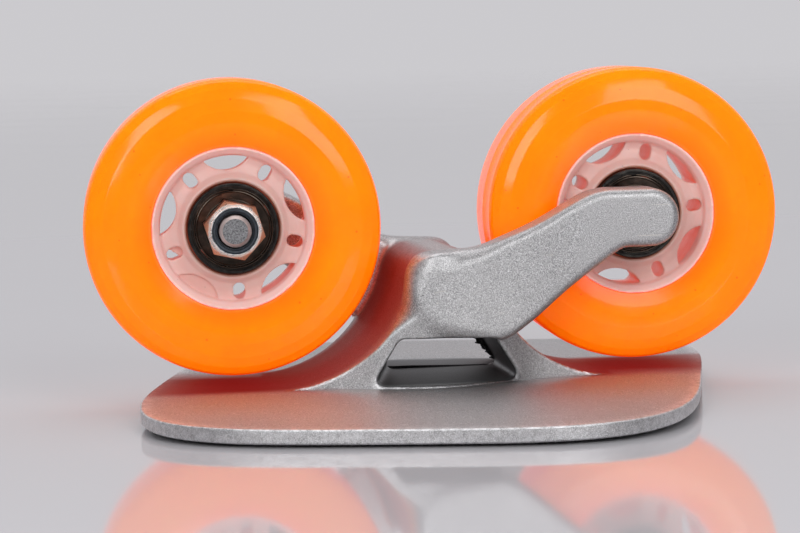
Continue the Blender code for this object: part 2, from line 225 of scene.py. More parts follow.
# ------------------------------------------------------------------------- materials
def cast_aluminium():
    """Sand-cast aluminium with a silver grain, bright worn edges, pits and scratches; a painted red
    reflection of the tyres close by, and painted shade in the window.
    """
    look = Look("silver_sand_casting", Metallic=0.96)
    fine = look.noise(4200.0, 2.0, 0.6)
    coarse = look.noise(1500.0, 2.0, 0.6)
    blotch = look.noise(42.0, 4.0, 0.6)
    grain = look.ramp(fine, [(0.34, (0.15, 0.15, 0.155)), (0.5, (0.42, 0.415, 0.425)),
                             (0.68, (0.90, 0.90, 0.91))])
    grain = look.mix(0.30, grain, look.ramp(coarse, [(0.34, 0.36), (0.66, 0.66)]))
    tone = look.mix(look.level(blotch, 0.35, 0.7, 0.0, 0.35), grain, (0.42, 0.41, 0.415))
    worn = look.attribute("edge_wear")
    edge = look.math("MULTIPLY", worn, look.level(look.noise(650.0, 3.0, 0.7), 0.35, 0.62, 0.05, 0.75))
    tone = look.mix(edge, tone, (0.92, 0.92, 0.93))
    pits = look.ramp(look.cells(150.0), [(0.02, 1.0), (0.04, 0.0)])
    tone = look.mix(look.math("MULTIPLY", pits, 0.55), tone, (0.08, 0.07, 0.07))
    lines = look.noise(1.0, 1.0, place=look.stretched((55.0, 2600.0, 2600.0), (0.0, 0.45, 0.12)))
    scratch = look.ramp(lines, [(0.745, 0.0), (0.77, 1.0)])
    tone = look.mix(look.math("MULTIPLY", scratch, 0.35), tone, (0.90, 0.84, 0.74))
    # Painted shade: the window's walls are darkened almost to black.
    tone = look.mix(look.math("MULTIPLY", look.attribute("painted_tunnel_shade"), 0.75), tone, (0.045, 0.042, 0.044))
    # Painted reflection: near a tyre the base colour goes dark red and the specular tint red, for the orange
    # light the tyre throws on the metal.
    painted_tyre_reflection = look.math("MULTIPLY", look.attribute("painted_tyre_reflection"), 0.97)
    tone = look.mix(painted_tyre_reflection, tone, (0.34, 0.020, 0.004))
    painted_reflection_tint = look.mix(painted_tyre_reflection, (1.0, 1.0, 1.0), (0.55, 0.06, 0.02))
    rough = look.level(fine, 0.3, 0.7, 0.40, 0.54)
    rough = look.math("SUBTRACT", rough, look.math("MULTIPLY", edge, 0.10))
    height = look.math("ADD", fine, look.math("MULTIPLY", coarse, 0.7))
    height = look.math("SUBTRACT", height, look.math("MULTIPLY", pits, 2.0))
    grain_bump = look.bump(height, 0.55, 0.00007)
    wavy = look.bump(look.noise(150.0, 3.0, 0.6), 0.15, 0.0006, grain_bump)
    return look.use(Base_Color=tone, Roughness=rough, Normal=wavy, Specular_Tint=painted_reflection_tint)


def orange_polyurethane(label):
    """Glossy, slightly translucent urethane with dust specks; painted shade makes it redder towards the hub,
    and a painted red glow stands in for light through it.
    """
    look = Look(label + "_orange_urethane", Subsurface_Weight=0.45, Subsurface_Scale=0.006,
                Subsurface_Radius=(1.0, 0.18, 0.02), IOR=1.33, Emission_Strength=0.55)
    radius, _ = look.around(wheel_centre(label))
    cloudy = look.noise(70.0, 3.0, 0.55)
    body = look.ramp(cloudy, [(0.30, (0.90, 0.315, 0.001)), (0.70, (0.94, 0.355, 0.0015))])
    # Painted shade: darker and redder close to the hub.
    core = look.level(radius, 20.0, 24.5, 0.7, 0.0)
    tone = look.mix(core, body, (0.90, 0.210, 0.002))
    seam = look.level(radius, 19.5, 20.5, 0.6, 0.0)
    tone = look.mix(seam, tone, (0.95, 0.30, 0.07))
    tone = look.specks(tone, 210.0, (0.045, 0.07), 0.45, (0.42, 0.05, 0.004))
    # Painted glow: a red emission, though the tyre is no lamp, stands in for light shining through the
    # urethane and throws red light on the parts around it.
    look.shader.inputs["Emission Color"].default_value = (1.0, 0.035, 0.0, 1.0)
    rough = look.uneven(260.0, 3.0, 0.09, 0.15)
    ripple = look.bump(look.noise(55.0, 1.0), 0.07, 0.0008)
    fine = look.bump(look.noise(1500.0, 2.0), 0.03, 0.0001, ripple)
    return look.use(Base_Color=tone, Roughness=rough, Normal=fine)


def pink_nylon(label):
    """Translucent nylon, with the orange light of the tyre around and behind it painted in: a painted glow
    at the rim, a redder painted glow deep in its holes, and painted shade at the bearing pocket's lip.
    """
    look = Look(label + "_pink_nylon", Subsurface_Weight=0.35, Subsurface_Scale=0.003,
                Subsurface_Radius=(1.0, 0.40, 0.30), IOR=1.45)
    radius, depth = look.around(wheel_centre(label))
    # The first two stops paint shade and a reflection of the dark bearing as a brown ring round the pocket's
    # lip.
    tone = look.ramp(look.level(radius, 11.0, 20.0, 0.0, 1.0),
                     [(0.0, (0.36, 0.13, 0.07)), (0.06, (0.50, 0.22, 0.15)), (0.10, (0.79, 0.50, 0.45)),
                      (0.68, (0.80, 0.50, 0.45)), (0.80, (0.90, 0.72, 0.68)), (1.0, (0.96, 0.74, 0.68))])
    # Painted light: deep in the windows and slots the colour turns red-orange, for the tyre's light.
    inside = look.level(depth, 8.0, 10.7, 1.0, 0.0)
    tone = look.mix(inside, tone, (0.80, 0.26, 0.18))
    milky = look.noise(120.0, 4.0, 0.6)
    tone = look.mix(look.level(milky, 0.35, 0.7, 0.0, 0.25), tone, (0.88, 0.74, 0.70))
    tone = look.specks(tone, 330.0, (0.04, 0.06), 0.35, (0.25, 0.14, 0.10))
    flow = look.bump(look.noise(240.0, 3.0), 0.12, 0.0004)
    rough = look.uneven(600.0, 2.0, 0.30, 0.46)
    # Painted glow: the rim and the deep walls emit salmon light, though the nylon is no lamp.
    rim = look.level(radius, 16.5, 19.6, 0.04, 0.12)
    glow = look.math("MAXIMUM", rim, look.math("MULTIPLY", inside, 0.13))
    look.shader.inputs["Emission Color"].default_value = (1.0, 0.20, 0.10, 1.0)
    return look.use(Base_Color=tone, Roughness=rough, Normal=flow, Emission_Strength=glow)


def plated_nut(label):
    """Plated steel: silver round its chamfered face, coppery out to the corners."""
    look = Look(label + "_warm_plated_steel", Metallic=1.0)
    radius, _ = look.around(wheel_centre(label))
    stain = look.noise(700.0, 4.0, 0.6)
    spread = look.math("ADD", radius, look.level(stain, 0.3, 0.7, -0.25, 0.25))
    tone = look.ramp(look.level(spread, 5.4, 7.4, 0.0, 1.0),
                     [(0.0, (0.30, 0.32, 0.34)), (0.16, (0.88, 0.87, 0.85)), (0.42, (0.95, 0.80, 0.72)),
                      (0.58, (0.90, 0.42, 0.27)), (1.0, (0.80, 0.30, 0.17))])
    rough = look.level(stain, 0.3, 0.7, 0.22, 0.38)
    fine = look.bump(look.noise(2600.0, 3.0), 0.4, 0.00004)
    return look.use(Base_Color=tone, Roughness=rough, Normal=fine)


def zinc_stud(label):
    """A zinc plated stud whose sawn end is grey and grainy, with a bright chamfer."""
    look = Look(label + "_zinc_plated_steel", Metallic=1.0)
    radius, _ = look.around(wheel_centre(label))
    grain = look.noise(2600.0, 3.0, 0.7)
    tone = look.ramp(grain, [(0.36, (0.10, 0.10, 0.105)), (0.64, (0.36, 0.36, 0.37))])
    edge = look.ramp(look.level(radius, 2.8, 4.1, 0.0, 1.0), [(0.12, 0.0), (0.22, 0.9), (1.0, 0.75)])
    tone = look.mix(edge, tone, (0.82, 0.66, 0.62))
    rough = look.level(grain, 0.3, 0.7, 0.34, 0.55)
    fine = look.bump(look.noise(1900.0, 3.0, 0.7), 0.9, 0.00008)
    return look.use(Base_Color=tone, Roughness=rough, Normal=fine)


def brushed_steel(name, dark, light, low, high, metallic=1.0, marks=0.3):
    """Turned or stamped steel: fine tool marks, stains and a broken gloss."""
    look = Look(name, Metallic=metallic)
    stain = look.noise(700.0, 4.0, 0.6)
    tone = look.ramp(stain, [(0.34, dark), (0.68, light)])
    rough = look.level(stain, 0.3, 0.7, low, high)
    fine = look.bump(look.noise(2600.0, 3.0), marks, 0.00004)
    return look.use(Base_Color=tone, Roughness=rough, Normal=fine)


def blue_nylon():
    """The locking ring's moulded nylon, slightly mottled."""
    look = Look("dark_blue_nylon", IOR=1.5)
    tone = look.ramp(look.noise(900.0, 3.0), [(0.35, (0.014, 0.019, 0.026)), (0.65, (0.034, 0.045, 0.060))])
    rough = look.uneven(1800.0, 2.0, 0.35, 0.6)
    fine = look.bump(look.noise(1400.0, 3.0), 0.2, 0.00008)
    return look.use(Base_Color=tone, Roughness=rough, Normal=fine)


def grip_grit():
    """Black silicon carbide grit in resin, with glinting grains and paler scuffs."""
    look = Look("black_grit_sheet", IOR=1.6)
    grains = look.cells(1900.0)
    tone = look.ramp(grains, [(0.05, (0.085, 0.085, 0.09)), (0.45, (0.018, 0.018, 0.019)),
                              (1.0, (0.006, 0.006, 0.006))])
    scuff = look.level(look.noise(28.0, 4.0, 0.65), 0.5, 0.75, 0.0, 0.5)
    tone = look.mix(scuff, tone, (0.13, 0.125, 0.12))
    rough = look.ramp(look.noise(2200.0, 1.0), [(0.35, 0.45), (0.6, 0.95)])
    bumpy = look.bump(look.math("SUBTRACT", 1.0, grains), 0.9, 0.0003)
    return look.use(Base_Color=tone, Roughness=rough, Normal=bumpy)


def studio_floor():
    """A pale polished sheet with a soft reflection, which fades into the backdrop far away."""
    look = Look("pale_gloss_sheet", IOR=1.42)
    tone = look.ramp(look.noise(3.0, 2.0), [(0.3, (0.590, 0.580, 0.605)), (0.7, (0.610, 0.600, 0.625))])
    rough = look.uneven(6.0, 2.0, 0.045, 0.075)
    look.use(Base_Color=tone, Roughness=rough)
    away = look.node("ShaderNodeVectorMath", {0: look.place}, operation="LENGTH").outputs["Value"]
    fade = look.ramp(look.level(away, 0.8, 5.0, 0.0, 1.0), [(0.0, 0.0), (1.0, 1.0)], smooth=True)
    clear = look.node("ShaderNodeBsdfTransparent").outputs[0]
    mixed = look.node("ShaderNodeMixShader", {0: fade, 1: look.shader.outputs[0], 2: clear}).outputs[0]
    look.tree.links.new(mixed, look.tree.nodes["Material Output"].inputs["Surface"])
    return look.material


# --------------------------------------------------------------------- mesh helpers
def link(made):
    bpy.context.scene.collection.objects.link(made)
    return made


def evaluated_mesh(made):
    """A new mesh of an object with its modifiers applied."""
    bpy.context.view_layer.update()
    return bpy.data.meshes.new_from_object(made.evaluated_get(bpy.context.evaluated_depsgraph_get()))


def finish_mesh(name, mesh, material, sharp_degrees=35.0):
    """An object of one material, smooth apart from its sharp edges."""
    mesh.shade_smooth()
    mesh.set_sharp_from_angle(angle=math.radians(sharp_degrees))
    mesh.materials.clear()
    mesh.materials.append(material)
    return link(bpy.data.objects.new(name, mesh))


def from_points(name, points, faces, material, sharp_degrees=35.0):
    """An object from points in millimetres in the row frame."""
    mesh = bpy.data.meshes.new(name)
    mesh.from_pydata((np.asarray(points) * MM).tolist(), [], faces)
    mesh.validate()
    return finish_mesh(name, mesh, material, sharp_degrees)


def join_parts(name, parts, material, sharp_degrees=35.0):
    """Several (points, faces) shapes as one object of separate shells."""
    points, faces, first = [], [], 0
    for some_points, some_faces in parts:
        points.append(np.asarray(some_points, float))
        faces += [tuple(first + k for k in face) for face in some_faces]
        first += len(some_points)
    return from_points(name, np.vstack(points), faces, material, sharp_degrees)


def rounded(corners, closed=True, step_degrees=15.0):
    """A polyline whose corners (a, b, radius) are turned into arcs."""
    line = []
    count = len(corners)
    for index, (a, b, radius) in enumerate(corners):
        here = np.array((a, b), float)
        if radius <= 0 or (not closed and index in (0, count - 1)):
            line.append(here)
            continue
        back = np.array(corners[index - 1][:2]) - here
        ahead = np.array(corners[(index + 1) % count][:2]) - here
        back_length, ahead_length = np.hypot(*back), np.hypot(*ahead)
        back, ahead = back / back_length, ahead / ahead_length
        half = math.acos(np.clip(back @ ahead, -1, 1)) / 2
        if half > math.radians(89.0):
            line.append(here)
            continue
        cut = min(radius / math.tan(half), 0.49 * min(back_length, ahead_length))
        bend = cut * math.tan(half)
        middle = back + ahead
        centre = here + middle / np.hypot(*middle) * bend / math.sin(half)
        start, end = here + back * cut - centre, here + ahead * cut - centre
        first = math.atan2(start[1], start[0])
        sweep = (math.atan2(end[1], end[0]) - first + math.pi) % (2 * math.pi) - math.pi
        steps = max(2, math.ceil(abs(math.degrees(sweep)) / step_degrees))
        for step in range(steps + 1):
            angle = first + sweep * step / steps
            line.append(centre + bend * np.array((math.cos(angle), math.sin(angle))))
    return line


def polar(centre, radius, angle, y=0.0):
    """A point at an angle round the Y axis through centre."""
    return centre[0] + radius * math.cos(angle), centre[1] + y, centre[2] + radius * math.sin(angle)


def band_faces(rows, count, closed=False):
    """Quads between neighbouring rows, each a closed ring of count points."""
    faces = []
    for row in range(rows if closed else rows - 1):
        a, b = row * count, (row + 1) % rows * count
        faces += [(a + k, a + (k + 1) % count, b + (k + 1) % count, b + k) for k in range(count)]
    return faces


def lathe_shape(profile, centre, segments=96, closed=True, wobble=None):
    """Points and faces of a profile (radius, y) turned round a Y axis through centre."""
    angles = np.arange(segments) * 2 * math.pi / segments
    points, faces, rows = [], [], []
    for radius, y in profile:
        if radius < 1e-6:
            rows.append([len(points)])
            points.append((centre[0], centre[1] + y, centre[2]))
            continue
        rows.append(list(range(len(points), len(points) + segments)))
        for angle in angles:
            points.append(polar(centre, radius if wobble is None else radius + wobble(angle, y), angle, y))
    pairs = list(zip(rows, rows[1:])) + ([(rows[-1], rows[0])] if closed else [])
    for first, second in pairs:
        for k in range(segments if len(first) + len(second) > 2 else 0):
            n = (k + 1) % segments
            if len(first) == 1:
                faces.append((first[0], second[n], second[k]))
            elif len(second) == 1:
                faces.append((first[k], first[n], second[0]))
            else:
                faces.append((first[k], first[n], second[n], second[k]))
    return outward(np.array(points), faces)


def outward(points, faces):
    """The same shape with its faces turned so that its volume is positive."""
    first = points.mean(0)
    volume = 0.0
    for face in faces:
        a, b, c = (points[face[k]] - first for k in (0, 1, 2))
        volume += np.dot(a, np.cross(b, c))
        if len(face) == 4:
            volume += np.dot(a, np.cross(c, points[face[3]] - first))
    return points, faces if volume > 0 else [tuple(reversed(face)) for face in faces]


def turned(name, corners, centre, material, segments=96, sharp_degrees=35.0):
    """A turned ring whose profile corners are (radius, y, rounding)."""
    points, faces = lathe_shape(rounded(corners), centre, segments)
    return from_points(name, points, faces, material, sharp_degrees)


def mirror_corners(half):
    """A profile and its mirror image about the middle plane."""
    return half + [(radius, -y, rounding) for radius, y, rounding in reversed(half)]


def boolean(target, tool, operation, solver="EXACT"):
    """Apply a Boolean to target and remove the tool."""
    cut = target.modifiers.new("cut", "BOOLEAN")
    cut.operation = operation
    cut.solver = solver
    cut.object = tool
    result = evaluated_mesh(target)
    target.modifiers.remove(cut)
    target.data = result
    bpy.data.objects.remove(tool, do_unlink=True)


def even_normals(made):
    """Keep flat faces flat-shaded next to their rounded edges."""
    weights = made.modifiers.new("even_normals", "WEIGHTED_NORMAL")
    weights.keep_sharp = True
    weights.weight = 80


def place_piece(made, body, node):
    """Ride on a body and stand for a CAD node, whose own part is hidden."""
    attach(made, body)
    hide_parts(node)


# -------------------------------------------------------------- distance-field shapes
def smooth_max(a, b, k):
    h = np.clip(0.5 + 0.5 * (a - b) / k, 0.0, 1.0)
    return b + (a - b) * h + k * h * (1.0 - h)


def smooth_min(a, b, k):
    return -smooth_max(-a, -b, k)


def smooth_step(low, high, value):
    t = np.clip((value - low) / (high - low), 0.0, 1.0)
    return t * t * (3 - 2 * t)


class Outline:
    """Signed distance to a closed flat outline, kept on a fine grid."""

    def __init__(self, points, margin=12.0, step=0.25):
        corners = np.array(points, float)
        self.low = corners.min(0) - margin
        self.step = step
        size = np.ceil((corners.max(0) + margin - self.low) / step).astype(int) + 1
        a = (self.low[0] + np.arange(size[0]) * step)[:, None]
        b = (self.low[1] + np.arange(size[1]) * step)[None, :]
        distance = np.full(size, 1e9)
        inside = np.zeros(size, bool)
        for p, q in zip(corners, np.roll(corners, -1, 0)):
            edge = q - p
            t = np.clip(((a - p[0]) * edge[0] + (b - p[1]) * edge[1]) / max(edge @ edge, 1e-12), 0, 1)
            distance = np.minimum(distance, np.hypot(a - p[0] - t * edge[0], b - p[1] - t * edge[1]))
            if p[1] != q[1]:
                crossing = (q[0] - p[0]) * (b - p[1]) / (q[1] - p[1]) + p[0]
                inside ^= ((p[1] > b) != (q[1] > b)) & (a < crossing)
        self.grid = np.where(inside, -distance, distance)

    def __call__(self, a, b):
        a, b = np.broadcast_arrays(a, b)
        u = np.clip((a - self.low[0]) / self.step, 0, self.grid.shape[0] - 1.001)
        v = np.clip((b - self.low[1]) / self.step, 0, self.grid.shape[1] - 1.001)
        i, j = u.astype(int), v.astype(int)
        u, v = u - i, v - j
        g = self.grid
        near = g[i, j] * (1 - u) + g[i + 1, j] * u
        far = g[i, j + 1] * (1 - u) + g[i + 1, j + 1] * u
        return near * (1 - v) + far * v


def thickened(flat, across, rounding):
    """A flat outline given thickness, with rounded rims."""
    a, b = flat + rounding, across + rounding
    return np.hypot(np.maximum(a, 0), np.maximum(b, 0)) + np.minimum(np.maximum(a, b), 0) - rounding


def surface_of(field, grids, passes=3):
    """Quads along the zero level of a field, pulled onto it exactly (surface nets)."""
    values = np.ascontiguousarray(field(*np.ix_(*grids)))
    inside = values < 0
    shape = np.array(values.shape)
    corners = list(product((0, 1), repeat=3))
    parts = [inside[tuple(slice(n, size - 1 + n) for n, size in zip(corner, shape))] for corner in corners]
    cells = np.argwhere(np.any(parts, 0) & ~np.all(parts, 0))
    number = np.full(shape - 1, -1, np.int64)
    number[tuple(cells.T)] = np.arange(len(cells))
    corner_values = {corner: values[tuple((cells + corner).T)] for corner in corners}
    total, hits = np.zeros((len(cells), 3)), np.zeros(len(cells))
    for start, axis in product(corners, range(3)):
        if start[axis]:
            continue
        end = tuple(1 if n == axis else v for n, v in enumerate(start))
        a, b = corner_values[start], corner_values[end]
        crossed = (a < 0) != (b < 0)
        spot = np.array(start, float)[None, :].repeat(len(cells), 0)
        spot[:, axis] += np.where(crossed, a / np.where(crossed, a - b, 1.0), 0.0)
        total += spot * crossed[:, None]
        hits += crossed
    spot = total / hits[:, None]
    lows = [grid[cells[:, n]] for n, grid in enumerate(grids)]
    highs = [grid[cells[:, n] + 1] for n, grid in enumerate(grids)]
    points = np.stack([lows[n] + spot[:, n] * (highs[n] - lows[n]) for n in range(3)], 1)
    quads = []
    for axis in range(3):
        other, third = (axis + 1) % 3, (axis + 2) % 3
        low, high = [slice(None)] * 3, [slice(None)] * 3
        low[axis], high[axis] = slice(0, -1), slice(1, None)
        edges = np.argwhere(inside[tuple(low)] != inside[tuple(high)])
        edges = edges[(edges[:, other] > 0) & (edges[:, third] > 0)
                      & (edges[:, other] < shape[other] - 1) & (edges[:, third] < shape[third] - 1)]
        ring = []
        for du, dv in ((-1, -1), (0, -1), (0, 0), (-1, 0)):
            cell = edges.copy()
            cell[:, other] += du
            cell[:, third] += dv
            ring.append(number[tuple(cell.T)])
        ring = np.stack(ring, 1)
        quads.append(np.where(inside[tuple(edges.T)][:, None], ring, ring[:, ::-1]))
    quads = np.vstack(quads)
    points = relax(points, quads)
    for _ in range(passes):
        points = pull(field, points)
    return points, quads


def relax(points, quads):
    """One even-out step: each point moves towards the mean of its neighbours."""
    starts = quads.ravel()
    ends = np.roll(quads, -1, 1).ravel()
    both = np.concatenate((starts, ends))
    others = np.concatenate((ends, starts))
    count = np.bincount(both, minlength=len(points))
    sums = np.stack([np.bincount(both, points[others, n], len(points)) for n in range(3)], 1)
    return points + 0.5 * (sums / count[:, None] - points)


def slope(field, points, reach=0.05):
    """The field's value and gradient at scattered points."""
    sides = [(field(*(points + shift).T) - field(*(points - shift).T)) / (2 * reach)
             for shift in reach * np.eye(3)]
    return field(*points.T), np.stack(sides, 1)


def pull(field, points, limit=0.3):
    """Points moved along the field's slope to where it is zero, by no more than a limit."""
    value, gradient = slope(field, points)
    size = np.maximum((gradient ** 2).sum(1), 0.05)
    move = -(value / size)[:, None] * gradient
    length = np.linalg.norm(move, axis=1)
    return points + move * np.minimum(1.0, limit / np.maximum(length, 1e-9))[:, None]


def curve_through(points, steps):
    """A smooth curve through a few points, ends included (Catmull-Rom)."""
    padded = [points[0]] + list(points) + [points[-1]]
    smooth = []
    for index in range(1, len(padded) - 2):
        before, start, end, after = (np.array(padded[index + k], float) for k in (-1, 0, 1, 2))
        for step in range(steps):
            t = step / steps
            bend = (2 * before - 5 * start + 4 * end - after) * t * t
            twist = (3 * start - before - 3 * end + after) * t * t * t
            smooth.append((2 * start + (end - before) * t + bend + twist) / 2)
    smooth.append(np.array(points[-1], float))
    return smooth


def arc(centre, radius, start, end, steps):
    """Points on an arc, angles in degrees."""
    angles = np.radians(np.linspace(start, end, steps + 1))
    return [np.array((centre[0] + radius * math.cos(a), centre[1] + radius * math.sin(a))) for a in angles]


# -------------------------------------------------------------------------- the truck
def arm_outline():
    """Side view of the front arm: its block on the left, its boss on the right."""
    top = curve_through([(-15.0, -7.2), (-4.0, -6.7), (5.0, -6.4), (10.0, -5.6), (14.5, -4.0),
                         (23.0, -0.4), (34.0, 5.6), (39.0, 7.05), (43.0, 7.15)], 8)
    boss = arc((AXLE_X + 0.4, 0.2), BOSS_RADIUS - 0.25, 95, -90, 40)
    bottom = curve_through([(46.0, -6.75), (43.4, -6.9), (41.2, -8.0), (36.0, -11.6), (29.4, -16.5),
                            (20.4, -24.0), (13.5, -28.0), (5.0, -28.7), (0.0, -28.5), (-4.0, -27.2),
                            (-7.6, -24.0), (-11.0, -18.0), (-15.0, -12.0)], 8)
    return top + boss + bottom


def pillar_outline():
    """Plan of the pillar on the plate, the same after half a turn."""
    front = [(-45.0, -19.6), (-25.0, -21.3), (-15.0, -24.1), (-4.0, -26.2),
             (6.0, -24.8), (15.0, -20.8), (25.0, -17.0), (45.0, -14.3)]
    bowed = curve_through(front, 8)
    return bowed + [-point for point in bowed]


ARM = Outline(arm_outline())
PILLAR = Outline(pillar_outline())


def clearance(side, x, y, z):
    """Positive inside the round scoop for one wheel, and in everything beyond it."""
    centre_x = side * (AXLE_X - SCOOP_INBOARD + SCOOP_FLARE * (1 - np.clip(side * y / 24.0, -1.0, 1.0)))
    lengthwise = y * math.cos(PLATE_TURN) - x * math.sin(PLATE_TURN)
    crown = PLATE_CROWN * (2 * lengthwise / PLATE_LENGTH) ** 2
    centre_z = SCOOP_RADIUS - PLATE_TO_AXLE - SCOOP_SINK - crown
    inward = np.maximum(-side * (x - centre_x), 0.0)
    above = np.where(side * (x - centre_x) > 0, np.maximum(centre_z - z, 0.0), centre_z - z)
    return SCOOP_RADIUS - np.hypot(inward, above)


def limb(side, x, y, z):
    """One arm with its block, cut back by the other wheel's scoop."""
    along, across = side * x, side * y
    rounding = 2.0 + 3.4 * (1 - smooth_step(-2.0, 16.0, along))
    middle, half = -(ARM_INNER + ARM_OUTER) / 2, (ARM_OUTER - ARM_INNER) / 2
    # The block's outer face falls back towards its end and its top.
    leaning = 1 - smooth_step(-2.0, 34.0, along)
    recede = 0.0090 * np.maximum(15.0 - along, 0.0) ** 2 + 0.17 * np.maximum(z + 28.0, 0.0) * leaning
    recede = 6.0 * (1 - np.exp(-recede / 6.0))
    slab = np.maximum(middle - across - half + recede, across - middle - half)
    body = thickened(ARM(along, z), slab, rounding)
    soft = 4.0 + 1.5 * smooth_step(-22.0, -12.0, z)
    return smooth_max(body, clearance(-side, x + 1.6 * side, y, z), soft)


def pillar(x, y, z):
    """The pedestal between both scoops, with sharp lips low down and soft ones near its top."""
    low, high = -PLATE_TO_AXLE - 3.0, TRUCK_TOP - 0.3
    body = thickened(PILLAR(x, y), np.abs(z - (low + high) / 2) - (high - low) / 2, 1.6)
    soft = 0.4 + 6.5 * smooth_step(-27.0, -19.0, z)
    for side in (-1, 1):
        body = smooth_max(body, clearance(side, x, y, z), soft)
    return body


def tunnel(x, y, z):
    """Negative inside the window: it narrows to the back, where a second core left a step and a burr."""
    t = np.clip((y + 26.0) / 36.0, 0.0, 1.0)
    back = np.clip((y - TUNNEL_STEP_AT) / 16.0, 0.0, 1.0)
    left_bottom = -16.8 + 6.3 * t - 7.0 * back
    right_bottom = 17.8 - 1.2 * t + 0.2 * back
    left_lean, right_lean = 0.62, 0.63 + 0.35 * smooth_step(9.0, 11.0, y)
    tilt_left = math.hypot(1.0, left_lean)
    tilt_right = np.hypot(1.0, right_lean)
    height = z + 36.4
    torn = np.abs(np.sin(2.3 * height) + 0.6 * np.sin(5.9 * height + 1.0))
    burr = (0.5 + 0.7 * torn) * np.exp(-((y - TUNNEL_STEP_AT) / 0.9) ** 2)
    left = (left_bottom + left_lean * height - x) / tilt_left
    right = (x - right_bottom + right_lean * height) / tilt_right + burr
    walls = smooth_max(left, right, 1.2)
    walls = smooth_max(walls, z - TUNNEL_TOP, 1.4)
    step = (0.45 - 0.02 * x) * smooth_step(9.7, 10.3, y)
    return smooth_max(walls, -(z - TUNNEL_SILL - step), 3.4 - 2.4 * smooth_step(8.5, 10.5, y))


def truck_field(x, y, z):
    """Signed distance to the casting above its plate, in millimetres from the axles' height."""
    body = smooth_min(limb(1, x, y, z), limb(-1, x, y, z), 1.0)
    body = smooth_min(body, pillar(x, y, z), 1.2)
    body = smooth_max(body, -tunnel(x, y, z), 0.9)
    for side in (-1, 1):
        reach = np.hypot(x - side * AXLE_X, z)
        depth = -side * y
        ends = np.maximum(ARM_INNER - 3 - depth, depth - ARM_INNER - STUD_DEPTH_IN_ARM - 0.3)
        body = np.maximum(body, -np.maximum(reach - BORE, ends))
    return body


def steps_between(low, high, step):
    """Even places from low to high, both included."""
    return np.linspace(low, high, int(round((high - low) / step)) + 1)


def truck_body(step=0.5):
    """The casting above its plate, and how much each point stands proud (worn edges)."""
    grids = [steps_between(low, high, step) for low, high in ((-58.0, 58.0), (-31.0, 31.0), (-43.0, 8.5))]
    points, quads = surface_of(truck_field, grids)
    reach = 0.55
    gradient = slope(truck_field, points)[1]
    normals = gradient / np.maximum(np.linalg.norm(gradient, axis=1), 1e-6)[:, None]
    spread = reach * np.vstack([(way, -way) for way in np.eye(3)])
    around = [truck_field(*(points - normals * reach + shift).T) for shift in spread]
    bulge = np.mean(around, 0) + reach
    wear = np.clip((bulge - 0.07) / 0.16, 0.0, 1.0)
    return points + np.array((0.0, 0.0, AXLE_Z)), quads, wear


def painted_tyre_reflection(points, normals):
    """How squarely each point faces a tyre close by, from 0 to 1: where the casting's painted tyre
    reflection goes.
    """
    strongest = np.zeros(len(points))
    for label in SIDES:
        centre = wheel_centre(label)
        across, up = centre[0] - points[:, 0], centre[2] - points[:, 2]
        reach = np.hypot(across, up)
        facing = (normals[:, 0] * across + normals[:, 2] * up) / np.maximum(reach, 1.0)
        beside = 1 - smooth_step(14.0, 22.0, np.abs(points[:, 1] - centre[1]))
        near = np.exp(-((reach - TREAD_RADIUS) / 10.0) ** 2) * beside
        strongest = np.maximum(strongest, smooth_step(0.0, 0.5, facing) * near)
    return strongest


def in_tunnel(points):
    """Which points lie on the window's walls, away from its front and back edges: where the casting's
    painted shade goes.
    """
    deep = smooth_step(-24.0, -20.0, points[:, 1]) * (1 - smooth_step(20.0, 25.0, points[:, 1]))
    walls = np.abs(tunnel(points[:, 0], points[:, 1], points[:, 2] - AXLE_Z))
    return (1 - smooth_step(0.35, 1.1, walls)) * deep


def write_mark(mesh, name, values):
    """Store one number for each point, for the materials."""
    mark = mesh.attributes.new(name, "FLOAT", "POINT")
    mark.data.foreach_set("value", values[:len(mesh.vertices)].astype(np.float32))


def plate_ring(inset, count):
    """Points on the plate's rounded outline, drawn in by an inset."""
    inset = inset + 0.06
    angles = (np.arange(count) + 0.5) * 2 * math.pi / count
    power = 2 / PLATE_POWER
    across = (PLATE_WIDTH / 2 - inset) * np.sign(np.cos(angles)) * np.abs(np.cos(angles)) ** power
    along = (PLATE_LENGTH / 2 - inset) * np.sign(np.sin(angles)) * np.abs(np.sin(angles)) ** power
    return across, along


def crowned_sheet(rows, count, middle_top):
    """Stacked rings (shrink, inset, drop) as a closed sheet, capped above and below, bent along the foot."""
    points = []
    for shrink, inset, drop in rows:
        across, along = plate_ring(inset, count)
        across, along = across * shrink, along * shrink
        z = middle_top - drop - PLATE_CROWN * (2 * along / PLATE_LENGTH) ** 2
        x = across * math.cos(PLATE_TURN) - along * math.sin(PLATE_TURN)
        y = across * math.sin(PLATE_TURN) + along * math.cos(PLATE_TURN)
        points.append(np.stack([x, y, z], 1))
    faces = band_faces(len(rows), count)
    stacked = np.vstack(points)
    for row in (0, len(rows) - 1):
        centre, a = len(stacked), row * count
        stacked = np.vstack([stacked, stacked[a:a + count].mean(0)])
        for k in range(count):
            n = (k + 1) % count
            faces.append((centre, a + n, a + k) if row == 0 else (centre, a + k, a + n))
    return outward(stacked, faces)


